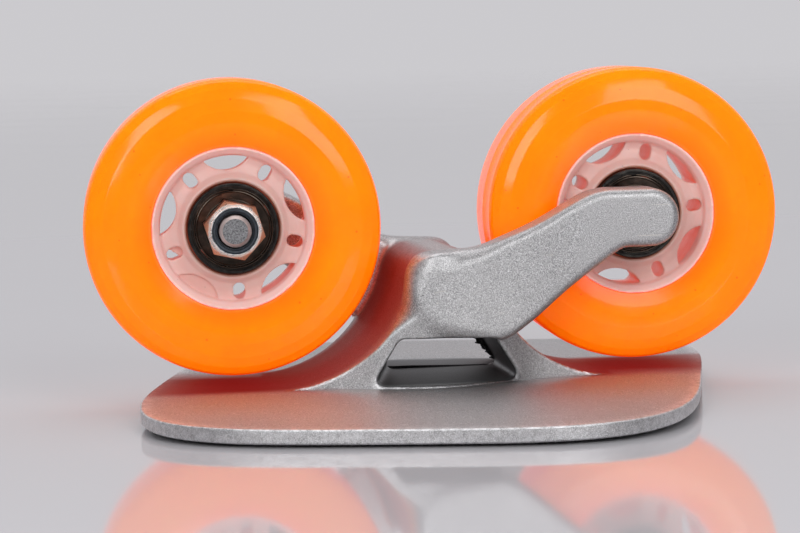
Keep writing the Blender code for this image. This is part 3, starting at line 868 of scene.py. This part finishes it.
def foot_plate(count=280):
    """The plate: rounded top edge, upright side, and a chamfer below."""
    shrinks = np.linspace(0.04, 1.0, 26)
    rows = [(s, PLATE_TOP_INSET, 0.0) for s in shrinks]
    edge = rounded([(PLATE_TOP_INSET, 0.0, 0.0), (0.0, 0.0, 0.5), (0.05, 3.1, 0.3),
                    (0.5, PLATE_THICKNESS, 0.25), (PLATE_UNDER_INSET, PLATE_THICKNESS, 0.0)],
                   closed=False, step_degrees=12.0)
    rows += [(1.0, inset, drop) for inset, drop in edge[1:]]
    rows += [(s, PLATE_UNDER_INSET, PLATE_THICKNESS) for s in shrinks[::-3][1:]]
    points, faces = crowned_sheet(rows, count, AXLE_Z - PLATE_TO_AXLE)
    wear = np.zeros(len(points))
    for row, (shrink, inset, drop) in enumerate(rows):
        if shrink == 1.0 and inset < 1.6:
            top_edge = math.exp(-((drop - 0.15) / 0.25) ** 2)
            low_edge = math.exp(-((drop - 3.15) / 0.25) ** 2)
            wear[row * count:(row + 1) * count] = max(top_edge, low_edge)
    return points, faces, wear


def roughened(points, amount=0.04, scale=0.11):
    """Slight unevenness of a sand casting, the same in every run."""
    noise.seed_set(ROUGHNESS_SEED)
    moved = points.copy()
    for index, point in enumerate(points):
        moved[index] += Vector(noise.noise_vector(Vector(point) * scale)) * amount
    return moved


FLASH_THICKNESS = 0.45
FLASHES = [
    ([(-24.5, -19.0), (-24.2, -21.6), (-23.0, -21.9), (-22.3, -24.3), (-21.1, -23.3), (-20.6, -25.4),
      (-19.3, -24.3), (-18.4, -26.0), (-17.0, -25.2), (-15.6, -26.6), (-15.0, -24.0), (-16.0, -20.0)], 17.1),
    ([(-21.0, -21.5), (-20.8, -24.9), (-19.6, -24.2), (-18.9, -26.3), (-17.6, -25.0), (-17.0, -21.5)],
     28.4),
]


def torn_flash(outline, y, material):
    """A thin jagged fin left on a mould line; its outline is (x, z), z above the axles."""
    count = len(outline)
    corners = [(x, y + side * FLASH_THICKNESS / 2, z + AXLE_Z) for side in (-1, 1) for x, z in outline]
    faces = [tuple(range(count)), tuple(count + k for k in reversed(range(count)))]
    faces += [((k + 1) % count, k, count + k, count + (k + 1) % count) for k in range(count)]
    a, b = np.array(outline).T
    if np.sum(a * np.roll(b, -1) - np.roll(a, -1) * b) <= 0:
        faces = [tuple(reversed(face)) for face in faces]
    return from_points("flash_shape", corners, faces, material)


def build_truck(material):
    """The whole casting in one piece, marked where it is worn, where a tyre's reflection is painted, and
    where shade is painted in the window.
    """
    body_points, body_quads, body_wear = truck_body()
    plate_points, plate_faces, plate_wear = foot_plate()
    body = from_points("truck_body_shape", roughened(body_points), body_quads.tolist(), material)
    plate = from_points("cast_truck", roughened(plate_points), plate_faces, material)
    write_mark(body.data, "edge_wear", body_wear)
    write_mark(plate.data, "edge_wear", plate_wear)
    boolean(plate, body, "UNION", "MANIFOLD")
    for flash in FLASHES:
        boolean(plate, torn_flash(*flash, material), "UNION", "MANIFOLD")
    places, normals = np.empty((2, len(plate.data.vertices) * 3))
    plate.data.vertices.foreach_get("co", places)
    plate.data.vertex_normals.foreach_get("vector", normals)
    places, normals = places.reshape(-1, 3) / MM, normals.reshape(-1, 3)
    # Where the tyres' red reflection is painted onto the casting.
    write_mark(plate.data, "painted_tyre_reflection", painted_tyre_reflection(places, normals))
    # Where shade is painted inside the window.
    write_mark(plate.data, "painted_tunnel_shade", in_tunnel(places))
    plate.data.shade_smooth()
    plate.data.set_sharp_from_angle(angle=math.radians(48))
    place_piece(plate, "truck", "truck_casting")


def build_grip(material, count=260):
    """The grit sheet under the plate, bent like it and rough on its lower face."""
    shrinks = np.linspace(0.03, 1.0, 60)
    low = span("grip_tape", 2)[0]
    drop = PLATE_CROWN * (1 - 2 * GRIP_INSET / PLATE_LENGTH) ** 2
    rows = [(s, GRIP_INSET + 0.15, 0.0) for s in shrinks]
    rows += [(1.0, GRIP_INSET, 0.15), (1.0, GRIP_INSET, GRIP_THICKNESS - 0.2)]
    rows += [(s, GRIP_INSET + 0.15, GRIP_THICKNESS) for s in shrinks[::-1]]
    points, faces = crowned_sheet(rows, count, low + drop + GRIP_THICKNESS)
    grit = np.random.default_rng(7).uniform(0.0, 0.12, len(points))
    under = np.arange(len(points)) >= count * (len(shrinks) + 2)
    under[-2:] = False
    points[under, 2] += grit[under]
    made = from_points("grit_sheet", points, faces, material, 60.0)
    place_piece(made, "truck", "grip_tape")


# ------------------------------------------------------------------------- the wheels
def build_tyre(label, material):
    """Tyre with a thin parting line round its tread and a faint ridge on each side."""
    centre = wheel_centre(label)
    half = [(HUB_RADIUS + 0.1, 14.35, 0.2), (20.6, 14.50, 1.0), (23.0, 14.85, 3.0), (25.5, 15.12, 3.0),
            (28.2, 15.10, 4.0), (31.2, 14.55, 4.0), (33.6, 13.60, 3.0), (35.4, 12.35, 1.6),
            (TREAD_RADIUS, 10.8, 2.0), (TREAD_RADIUS, 0.16, 0.0), (TREAD_RADIUS + 0.03, 0.10, 0.0)]
    profile = rounded(mirror_corners(half), step_degrees=5.0)
    points, faces = lathe_shape(profile, centre, 256)
    made = from_points(label + "_moulded_tyre", points, faces, material, 60.0)
    place_piece(made, label + "_wheel", label + "_tyre")


def folded(x, z, first):
    """Local coordinates of the nearest of the evenly spaced directions from first."""
    radius = np.hypot(x, z)
    turn = np.degrees(np.arctan2(z, x)) - first
    number = np.round(turn / WINDOW_PITCH)
    local = np.radians(turn - number * WINDOW_PITCH)
    return radius * np.cos(local), radius * np.sin(local), number % WINDOW_COUNT


def hub_section():
    """Half section (radius, y): rim, dished web, bearing lip and bearing seat, mirrored."""
    return rounded(mirror_corners([
        (HUB_RADIUS, HUB_FACE, 0.25), (19.15, HUB_FACE, 0.3), (17.85, 12.4, 0.5), (17.55, 10.9, 0.6),
        (15.6, 10.75, 2.0), (13.4, 11.5, 1.2), (12.1, 13.1, 0.5), (POCKET_RADIUS, 13.1, 0.3),
        (POCKET_RADIUS, 7.5, 0.1), (9.6, 7.5, 0.3)]), step_degrees=10.0)


def hub_window():
    """A D-shaped window pointing along +X: wide outside, bowed inside."""
    outer = arc((0.0, 0.0), 17.5, -18.5, 18.5, 14)
    inner = arc((21.37, 0.0), 7.27, 129, 231, 16)
    ends = (0, 14, 15, 31)
    shape = [(*point, 0.35 if index in ends else 0.0) for index, point in enumerate(outer + inner)]
    return rounded(shape, step_degrees=20.0)


def hub_field(label):
    """Signed distance to the nylon core around its own centre."""
    section = Outline(hub_section(), 6.0, 0.1)
    window = Outline(hub_window(), 10.0, 0.1)
    first = FIRST_WINDOW[label]
    shut = [((degrees - first) / WINDOW_PITCH) % WINDOW_COUNT for degrees in MOULDED_SHUT[label]]

    def field(x, y, z):
        body = section(np.hypot(x, z), y)
        along, across, number = folded(x, z, first)
        draft = 0.045 * (y + 10.8) + 0.25 * (y > 0.0)
        hole = window(along, across) - draft
        if shut:
            skin = np.abs(y + 9.9) - 0.35
            hole = np.where(number == round(shut[0]), np.maximum(hole, -skin), hole)
        slot_along, slot_across, slot_number = folded(x, z, first + WINDOW_PITCH / 2)
        beyond = np.maximum(np.abs(slot_along - SLOT_REACH) - SLOT_HALF_LENGTH, 0.0)
        slot = np.hypot(beyond, slot_across) - SLOT_RADIUS - draft
        if shut:
            torn = np.maximum(np.abs(y + 9.6) - 0.3, 0.7 * slot_across + slot_along - 15.2)
            slot = np.where(slot_number == math.floor(shut[1]), np.maximum(slot, -torn), slot)
        return smooth_max(smooth_max(body, -hole, 0.35), -slot, 0.35)

    return field


def flat_solid(name, outline, half_depth, edge, centre, y_middle):
    """An outline (x, z) given thickness along Y and rounded rims."""
    curve = bpy.data.curves.new(name, "CURVE")
    curve.dimensions = "2D"
    curve.fill_mode = "BOTH"
    curve.extrude = (half_depth - edge) * MM
    curve.bevel_depth = edge * MM
    curve.bevel_resolution = 3
    curve.offset = -edge * MM
    spline = curve.splines.new("POLY")
    spline.points.add(len(outline) - 1)
    for point, (a, b) in zip(spline.points, outline):
        point.co = (a * MM, b * MM, 0.0, 1.0)
    spline.use_cyclic_u = True
    holder = link(bpy.data.objects.new(name, curve))
    mesh = evaluated_mesh(holder)
    bpy.data.objects.remove(holder, do_unlink=True)
    stand = Matrix.Rotation(math.radians(90), 4, "X")
    mesh.transform(Matrix.Translation(Vector((centre[0], centre[1] + y_middle, centre[2])) * MM) @ stand)
    bm = bmesh.new()
    bm.from_mesh(mesh)
    bmesh.ops.remove_doubles(bm, verts=bm.verts, dist=1e-6)
    bmesh.ops.recalc_face_normals(bm, faces=bm.faces)
    bm.to_mesh(mesh)
    bm.free()
    return link(bpy.data.objects.new(name, mesh))


def build_hub(label, material, step=0.32):
    """The core: a rim, a dished web with windows and slots, and seats for both bearings."""
    flat = steps_between(-20.16, 20.16, step)
    near = steps_between(8.4, 14.8, 0.4)
    middle = np.linspace(1.0, 8.4, 6)[:-1]
    levels = np.concatenate((-near[::-1], np.linspace(-8.4, -1.0, 6)[1:], [-0.3, 0.3], middle, near))
    points, quads = surface_of(hub_field(label), (flat, levels, flat))
    points = points + wheel_centre(label)
    made = from_points(label + "_windowed_hub", points, quads.tolist(), material, 50.0)
    place_piece(made, label + "_wheel", label + "_hub")


def build_bearing(label, which, facing, steels):
    """A shielded bearing; facing is the way along Y that its open face looks."""
    ring_steel, shield_steel, ball_steel = steels
    node = f"{label}_{which}_bearing_"
    centre = wheel_centre(label) + np.array((0.0, facing * BEARING_MID, 0.0))
    wheel, cages = label + "_wheel", label + "_ball_cages"
    outer = mirror_corners([(10.98, 3.25, 0.0), (10.72, 3.5, 0.12), (10.15, 3.5, 0.12),
                            (10.02, 3.3, 0.05), (9.78, 3.3, 0.05), (9.78, 2.5, 0.1),
                            (9.40, 2.5, 0.08), (9.40, 1.9, 0.0), (9.75, 0.7, 0.0)])
    outer_ring = turned(node + "outer_race", outer, centre, ring_steel, 128)
    place_piece(outer_ring, wheel, node + "outer_ring")
    inner = mirror_corners([(BORE, 3.25, 0.0), (4.35, 3.5, 0.12), (5.75, 3.5, 0.15), (5.9, 3.35, 0.0),
                            (5.9, 1.9, 0.0), (5.3, 0.7, 0.0)])
    inner_ring = turned(node + "inner_race", inner, centre, ring_steel)
    place_piece(inner_ring, "truck", node + "inner_ring")
    plate = [(9.18, 2.62, 0.08), (9.18, 3.04, 0.1), (8.9, 3.12, 0.12), (8.7, 2.88, 0.12),
             (6.9, 2.80, 0.3), (6.5, 3.20, 0.2), (6.15, 3.20, 0.08), (6.15, 2.98, 0.05),
             (6.45, 2.98, 0.1), (6.85, 2.58, 0.2)]
    for word, way in (("open", facing), ("closed", -facing)):
        shield = [(radius, way * y, rounding) for radius, y, rounding in plate]
        parts = [lathe_shape(rounded(shield), centre, 128)]
        if word == "open":
            parts += [snap_ring(centre, way)] + shield_tabs(centre, way)
        made = join_parts(node + word + "_shield_plate", parts, shield_steel)
        place_piece(made, wheel, f"{node}{word}_side_shield")
    balls = ball_cage(node + "balls_in_cage", centre, ball_steel)
    place_piece(balls, cages, node + "ball_cage")


def snap_ring(centre, way):
    """The split wire ring that holds a shield in."""
    section = rounded([(9.70, 3.28, 0.1), (9.30, 3.28, 0.1), (9.30, 2.98, 0.05), (9.70, 2.98, 0.05)],
                      step_degrees=30.0)
    gap_at, sweep = 96.0, 352.0
    angles = np.radians(np.linspace(gap_at, gap_at + sweep, 141))
    count = len(section)
    points = np.array([polar(centre, radius, angle, way * y) for angle in angles for radius, y in section])
    faces = band_faces(len(angles), count)
    last = (len(angles) - 1) * count
    caps = [tuple(range(count)), tuple(last + k for k in reversed(range(count)))]
    outer_faces = outward(points, faces)[1]
    if outer_faces[0] == faces[0]:
        caps = [tuple(reversed(face)) for face in caps]
    return points, outer_faces + caps


def shield_tabs(centre, way):
    """Small folds on the shield's rim that show as short radial ticks."""
    parts = []
    for degrees in (100, 5, 270, 143, 210, 327):
        angle = math.radians(degrees)
        out = np.array((math.cos(angle), 0.0, math.sin(angle)))
        along = np.array((-math.sin(angle), 0.0, math.cos(angle)))
        corners = [centre + out * radius + along * turn + np.array((0.0, way * y, 0.0))
                   for radius, y, turn in product((8.75, 9.28), (3.0, 3.34), (-0.10, 0.10))]
        faces = [(0, 1, 3, 2), (4, 6, 7, 5), (0, 4, 5, 1), (2, 3, 7, 6), (0, 2, 6, 4), (1, 5, 7, 3)]
        parts.append(outward(np.array(corners), faces))
    return parts


def ball_cage(name, centre, material):
    """Polished balls between two pressed halves of a cage."""
    bm = bmesh.new()
    for number in range(BALL_COUNT):
        spot = Matrix.Translation(polar(centre, BALL_PITCH_RADIUS, 2 * math.pi * number / BALL_COUNT))
        bmesh.ops.create_uvsphere(bm, u_segments=32, v_segments=20, radius=BALL_RADIUS, matrix=spot)
    points = np.array([vertex.co for vertex in bm.verts])
    bm.verts.ensure_lookup_table()
    faces = [tuple(vertex.index for vertex in face.verts) for face in bm.faces]
    bm.free()
    parts = [(points, faces)]
    steps_per_ball = 24
    segments = BALL_COUNT * steps_per_ball
    for way in (-1, 1):
        rows = []
        for k in range(segments):
            angle = 2 * math.pi * k / segments
            phase = (k % steps_per_ball) / steps_per_ball * 2 * math.pi
            lift = 0.25 + 1.95 * max(0.0, math.cos(phase)) ** 0.6
            low, high = way * lift, way * (lift + 0.32)
            ring = [(7.0, low), (8.0, low), (8.0, high), (7.0, high)]
            rows += [polar(centre, r, angle, y) for r, y in ring]
        parts.append(outward(np.array(rows), band_faces(segments, 4, closed=True)))
    return join_parts(name, parts, material)


# ------------------------------------------------------------------------ fasteners
def lathed(name, profile, facing, centre, material):
    """A turned solid on the axle; its profile (radius, y) starts and ends on the axis."""
    points, faces = lathe_shape([(r, facing * y) for r, y in profile], centre, 96, closed=False)
    return from_points(name, points, faces, material)


def build_nut(label, facing, material, insert_material):
    """A lock nut: chamfered hexagon, rolled collar and its nylon insert."""
    centre = wheel_centre(label)
    top = NUT_START + NUT_HEX_HEIGHT
    corner = NUT_ACROSS_FLATS / math.sqrt(3)
    angles = [math.radians(60 * k + NUT_TURN) for k in range(6)]
    outline = [(corner * math.cos(a), corner * math.sin(a)) for a in angles]
    hexagon = flat_solid(label + "_hexagon", outline, NUT_HEX_HEIGHT / 2, 0.08, centre,
                         facing * (NUT_START + NUT_HEX_HEIGHT / 2))
    hexagon.data.materials.append(material)
    drum = [(0.0, NUT_START - 1.0, 0.0), (6.9, NUT_START - 1.0, 0.0), (6.9, NUT_START, 0.0),
            (7.62, NUT_START + 0.45, 0.3), (7.62, top - 0.85, 0.3), (6.35, top, 0.2),
            (6.35, top + 0.5, 0.0), (0.0, top + 0.5, 0.0)]
    drum = rounded(drum, closed=False)
    boolean(hexagon, lathed(label + "_drum", drum, facing, centre, material), "INTERSECT")
    collar_top = top + NUT_COLLAR_HEIGHT
    collar = [(0.0, top - 1.0, 0.0), (5.9, top - 1.0, 0.0), (5.9, collar_top - 0.5, 0.0),
              (5.85, collar_top, 0.3), (5.5, collar_top, 0.1), (5.45, collar_top - 0.35, 0.0),
              (0.0, collar_top - 0.35, 0.0)]
    collar = rounded(collar, closed=False)
    boolean(hexagon, lathed(label + "_collar", collar, facing, centre, material), "UNION")
    bore = [(0.0, NUT_START - 2.0), (4.7, NUT_START - 2.0), (4.7, NUT_START), (4.2, NUT_START + 0.5),
            (4.2, top - 0.2), (5.45, top - 0.2), (5.45, collar_top + 1.0), (0.0, collar_top + 1.0)]
    boolean(hexagon, lathed(label + "_nut_bore", bore, facing, centre, material), "DIFFERENCE")
    made = finish_mesh(label + "_plated_lock_nut", hexagon.data, material, 30.0)
    bpy.data.objects.remove(hexagon, do_unlink=True)
    even_normals(made)
    place_piece(made, "truck", label + "_lock_nut")
    ring = [(5.4, top - 0.1, 0.1), (5.4, collar_top - 0.3, 0.1), (5.1, collar_top - 0.15, 0.15),
            (4.7, collar_top - 0.2, 0.15), (4.55, collar_top - 0.9, 0.1), (4.2, collar_top - 1.0, 0.0),
            (4.2, top - 0.1, 0.1)]
    ring = [(r, facing * y, rounding) for r, y, rounding in ring]
    insert = turned(label + "_locking_ring", ring, centre, insert_material)
    place_piece(insert, "truck", label + "_nut_insert")


def thread_rows(start, end):
    """Places down a thread, eight to a turn."""
    ys = []
    while start > end:
        ys.append(start)
        start -= THREAD_PITCH / 8
    return ys


def build_stud(label, facing, material):
    """The stud: plain along the bearings, with a cut thread at both ends."""
    centre = wheel_centre(label)
    nut_end = facing * STUD_NUT_END
    length_in_arm = ARM_INNER + STAGGER + STUD_DEPTH_IN_ARM
    arm_end = -facing * length_in_arm
    nut_thread, arm_thread = 15.4, 19.2
    threads = [(nut_end, facing * nut_thread), (arm_end, -facing * arm_thread)]

    def thread(angle, y):
        for end, start in threads:
            if min(end, start) - 0.01 <= y <= max(end, start) + 0.01:
                fade = min(1.0, abs(y - start) / 1.0, max(0.0, abs(y - end) - 0.6) / 0.5)
                turn = (y / THREAD_PITCH - angle / (2 * math.pi)) % 1.0
                return -0.62 * fade * abs(2 * turn - 1)
        return 0.0

    profile = [(0.0, nut_end), (2.95, nut_end), (3.05, nut_end - facing * 0.05),
               (3.10, nut_end - facing * 0.10), (3.75, nut_end - facing * 0.62)]
    ys = thread_rows(STUD_NUT_END - 0.75, nut_thread) + [nut_thread - 0.1, 0.0, 0.1 - arm_thread]
    ys += thread_rows(-arm_thread, 0.75 - length_in_arm)
    profile += [(STUD_RADIUS, facing * y) for y in ys]
    profile += [(3.75, arm_end + facing * 0.62), (3.05, arm_end), (0.0, arm_end)]
    points, faces = lathe_shape(profile, centre, 72, closed=False, wobble=thread)
    made = from_points(label + "_threaded_stud", points, faces, material, 25.0)
    place_piece(made, "truck", label + "_axle_stud")


def build_spacers(label, facing, material):
    """The sleeve between the inner rings, and the spacer between bearing and arm."""
    centre = wheel_centre(label)
    half = BEARING_MID - BEARING_HALF - 0.3
    sleeve = mirror_corners([(5.5, half, 0.25), (BORE, half, 0.25)])
    made = turned(label + "_inner_sleeve", sleeve, centre, material)
    place_piece(made, "truck", label + "_bearing_sleeve")
    start, end = -facing * (BEARING_MID + BEARING_HALF + 0.3), -facing * (ARM_INNER + STAGGER - 0.3)
    washer = [(5.95, start, 0.3), (5.95, end, 0.3), (BORE, end, 0.2), (BORE, start, 0.2)]
    made = turned(label + "_arm_side_spacer", washer, centre, material)
    place_piece(made, "truck", label + "_arm_spacer")


def build_wheel(label, steels, nut_material, stud_material, insert_material):
    facing = SIDES[label]
    build_tyre(label, orange_polyurethane(label))
    build_hub(label, pink_nylon(label))
    build_bearing(label, "nut", facing, steels)
    build_bearing(label, "arm", -facing, steels)
    build_nut(label, facing, nut_material, insert_material)
    build_stud(label, facing, stud_material)
    build_spacers(label, facing, stud_material)


# --------------------------------------------------------------------------- studio
FLOOR_HALF_M = 90.0
AIM_M = (0.0, 0.0, 0.035)


def build_floor(material):
    half = FLOOR_HALF_M
    corners = [(-half, -half, 0.0), (half, -half, 0.0), (half, half, 0.0), (-half, half, 0.0)]
    mesh = bpy.data.meshes.new("floor")
    mesh.from_pydata(corners, [], [(0, 1, 2, 3)])
    mesh.materials.append(material)
    link(bpy.data.objects.new("floor", mesh))


def soft_light(name, place, size, power):
    """A white panel that faces the skate, and that the camera doesn't see."""
    lamp = bpy.data.lights.new(name, "AREA")
    lamp.shape = "RECTANGLE"
    lamp.size, lamp.size_y = size
    lamp.energy = power
    holder = link(bpy.data.objects.new(name, lamp))
    holder.location = place
    holder.rotation_euler = (Vector(AIM_M) - Vector(place)).to_track_quat("-Z", "Y").to_euler()
    holder.visible_camera = False


def build_studio():
    """A room that is darker behind the camera than behind the skate, and three soft panels."""
    world = bpy.data.worlds.new("studio")
    world.use_nodes = True
    nodes, links = world.node_tree.nodes, world.node_tree.links
    direction = nodes.new("ShaderNodeSeparateXYZ")
    links.new(nodes.new("ShaderNodeTexCoord").outputs["Generated"], direction.inputs[0])
    front_to_back = nodes.new("ShaderNodeMapRange")
    front_to_back.inputs["From Min"].default_value = -0.35
    front_to_back.inputs["From Max"].default_value = 0.35
    links.new(direction.outputs["Y"], front_to_back.inputs["Value"])
    room = nodes.new("ShaderNodeMix")
    room.data_type = "RGBA"
    links.new(front_to_back.outputs["Result"], room.inputs[0])
    room.inputs[6].default_value = (0.225, 0.220, 0.230, 1.0)
    room.inputs[7].default_value = (0.600, 0.592, 0.615, 1.0)
    links.new(room.outputs[2], nodes["Background"].inputs["Color"])
    bpy.context.scene.world = world
    soft_light("softbox_right", (0.34, -1.03, 0.52), (0.40, 0.75), 4.6)
    soft_light("softbox_left", (-0.56, -1.03, 0.52), (0.30, 0.70), 4.2)
    soft_light("top_panel", (0.0, 0.25, 1.5), (1.4, 1.2), 7.5)
    bpy.context.scene.view_settings.view_transform = "Standard"


# Camera: long lens, a little left of and above the skate, tilted slightly.
CAMERA_PLACE_M = (-0.079719, -0.664746, AXLE_Z * MM + 0.048198)
CAMERA_YAW, CAMERA_PITCH, CAMERA_ROLL = (math.radians(v) for v in (6.1794, 5.1491, -1.5135))
CAMERA_LENS, CAMERA_SENSOR = 121.724, 36.0


def build_camera():
    forward = Vector((math.sin(CAMERA_YAW) * math.cos(CAMERA_PITCH),
                      math.cos(CAMERA_YAW) * math.cos(CAMERA_PITCH), -math.sin(CAMERA_PITCH)))
    level = Vector((math.cos(CAMERA_YAW), -math.sin(CAMERA_YAW), 0.0))
    upright = level.cross(forward)
    c, s = math.cos(CAMERA_ROLL), math.sin(CAMERA_ROLL)
    right, up = c * level + s * upright, c * upright - s * level
    lens = bpy.data.cameras.new("camera")
    lens.sensor_width = CAMERA_SENSOR
    lens.lens = CAMERA_LENS
    lens.clip_start, lens.clip_end = 0.05, 400.0
    camera = link(bpy.data.objects.new("camera", lens))
    camera.matrix_world = Matrix((
        (right.x, up.x, -forward.x, CAMERA_PLACE_M[0]),
        (right.y, up.y, -forward.y, CAMERA_PLACE_M[1]),
        (right.z, up.z, -forward.z, CAMERA_PLACE_M[2]),
        (0.0, 0.0, 0.0, 1.0)))
    bpy.context.scene.camera = camera


def main():
    build_camera()
    build_studio()
    build_floor(studio_floor())
    build_truck(cast_aluminium())
    build_grip(grip_grit())
    steels = (brushed_steel("dark_bearing_steel", (0.022, 0.021, 0.020), (0.060, 0.056, 0.052),
                            0.18, 0.28, 0.95, 0.12),
              brushed_steel("bronzed_shield_steel", (0.040, 0.031, 0.025), (0.080, 0.061, 0.050),
                            0.16, 0.26, 1.0, 0.15),
              brushed_steel("polished_ball_steel", (0.50, 0.50, 0.50), (0.72, 0.72, 0.72), 0.08, 0.16))
    insert_material = blue_nylon()
    for label in SIDES:
        build_wheel(label, steels, plated_nut(label), zinc_stud(label), insert_material)


main()
